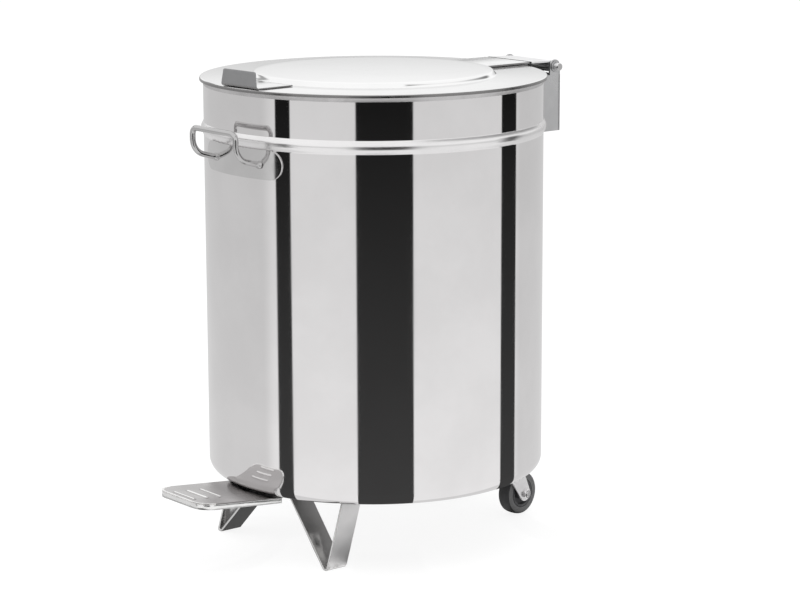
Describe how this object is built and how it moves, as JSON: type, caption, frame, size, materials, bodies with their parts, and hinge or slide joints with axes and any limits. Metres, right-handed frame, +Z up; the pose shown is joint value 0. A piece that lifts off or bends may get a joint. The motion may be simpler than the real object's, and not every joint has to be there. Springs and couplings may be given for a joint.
{
  "type": "pedal bin",
  "caption": "Round stainless-steel pedal bin on strip feet and swivel casters, with a hinged lid that a front pedal lifts through a lever and push rod.",
  "frame": {"origin": "on the floor, at the middle of the bin's bounding box in plan", "axes": "+Z up; -Y to the front, where the pedal, handle and lid tab are; +X to the right seen from the front"},
  "size_m": [0.4596, 0.6216, 0.6431],
  "materials": {
    "polished_steel": "mirror-polished stainless sheet",
    "satin_steel": "satin stainless sheet and bar",
    "zinc_steel": "bright zinc-plated steel",
    "dark_steel": "dark spring steel",
    "hub_plastic": "moulded, dark grey",
    "grey_rubber": "matt, dark grey"
  },
  "bodies": {
    "frame": {"drum_wall": "polished_steel", "drum_base": "polished_steel", "handle_plate": "polished_steel", "handle_wire": "polished_steel", "hinge_pin": "polished_steel", "pivot_pin": "polished_steel", "front_foot_left": "polished_steel", "front_foot_right": "polished_steel", "hinge_bracket": "satin_steel", "rod_guide_upper": "satin_steel", "rod_guide_lower": "satin_steel", "pivot_bracket": "satin_steel", "hinge_ring_left": "dark_steel", "hinge_ring_right": "dark_steel", "pivot_ring_left": "dark_steel", "pivot_ring_right": "dark_steel", "caster_plate_left": "zinc_steel", "caster_plate_right": "zinc_steel", "king_pin_left": "zinc_steel", "king_pin_right": "zinc_steel"},
    "lid": {"lid": "polished_steel", "hinge_strap": "polished_steel", "lid_tab": "satin_steel", "hinge_crank": "satin_steel", "crank_pin": "satin_steel"},
    "pedal": {"pedal_plate": "polished_steel", "pedal_lever": "satin_steel", "pivot_sleeve": "satin_steel"},
    "rod": {"push_rod": "satin_steel", "rod_yoke": "satin_steel", "rod_foot": "satin_steel"},
    "caster_left": {"swivel_race_left": "zinc_steel", "caster_fork_left": "zinc_steel", "axle_left": "zinc_steel", "axle_nut_inner_left": "zinc_steel", "axle_nut_outer_left": "zinc_steel"},
    "wheel_left": {"wheel_hub_left": "hub_plastic", "tyre_left": "grey_rubber"},
    "caster_right": {"swivel_race_right": "zinc_steel", "caster_fork_right": "zinc_steel", "axle_right": "zinc_steel", "axle_nut_inner_right": "zinc_steel", "axle_nut_outer_right": "zinc_steel"},
    "wheel_right": {"wheel_hub_right": "hub_plastic", "tyre_right": "grey_rubber"}
  },
  "joints": [
    {"name": "lid_hinge", "type": "hinge", "parent": "frame", "child": "lid", "pos_m": [0, 0.29783, 0.6143], "axis": [-1, 0, 0], "range_deg": [0, 75]},
    {"name": "pedal_pivot", "type": "hinge", "parent": "frame", "child": "pedal", "pos_m": [0, -0.02317, 0.05956], "axis": [1, 0, 0], "range_deg": [0, 8]},
    {"name": "rod_slide", "type": "slide", "parent": "frame", "child": "rod", "axis": [0, 0, 1], "range_m": [0, 0.0403]},
    {"name": "caster_left_swivel", "type": "hinge", "parent": "frame", "child": "caster_left", "pos_m": [-0.07615, 0.18707, 0.078], "axis": [0, 0, 1], "continuous": true},
    {"name": "wheel_left_spin", "type": "hinge", "parent": "caster_left", "child": "wheel_left", "pos_m": [-0.07923, 0.20987, 0.03], "axis": [0.991, 0.134, 0], "continuous": true},
    {"name": "caster_right_swivel", "type": "hinge", "parent": "frame", "child": "caster_right", "pos_m": [0.07615, 0.18707, 0.078], "axis": [0, 0, 1], "continuous": true},
    {"name": "wheel_right_spin", "type": "hinge", "parent": "caster_right", "child": "wheel_right", "pos_m": [0.07307, 0.20987, 0.03], "axis": [0.991, 0.134, 0], "continuous": true}
  ],
  "couplings": [
    {"joint": "pedal_pivot", "follows": "lid_hinge", "ratio": 0.10521},
    {"joint": "rod_slide", "follows": "lid_hinge", "m_per_rad": 0.030694}
  ]
}
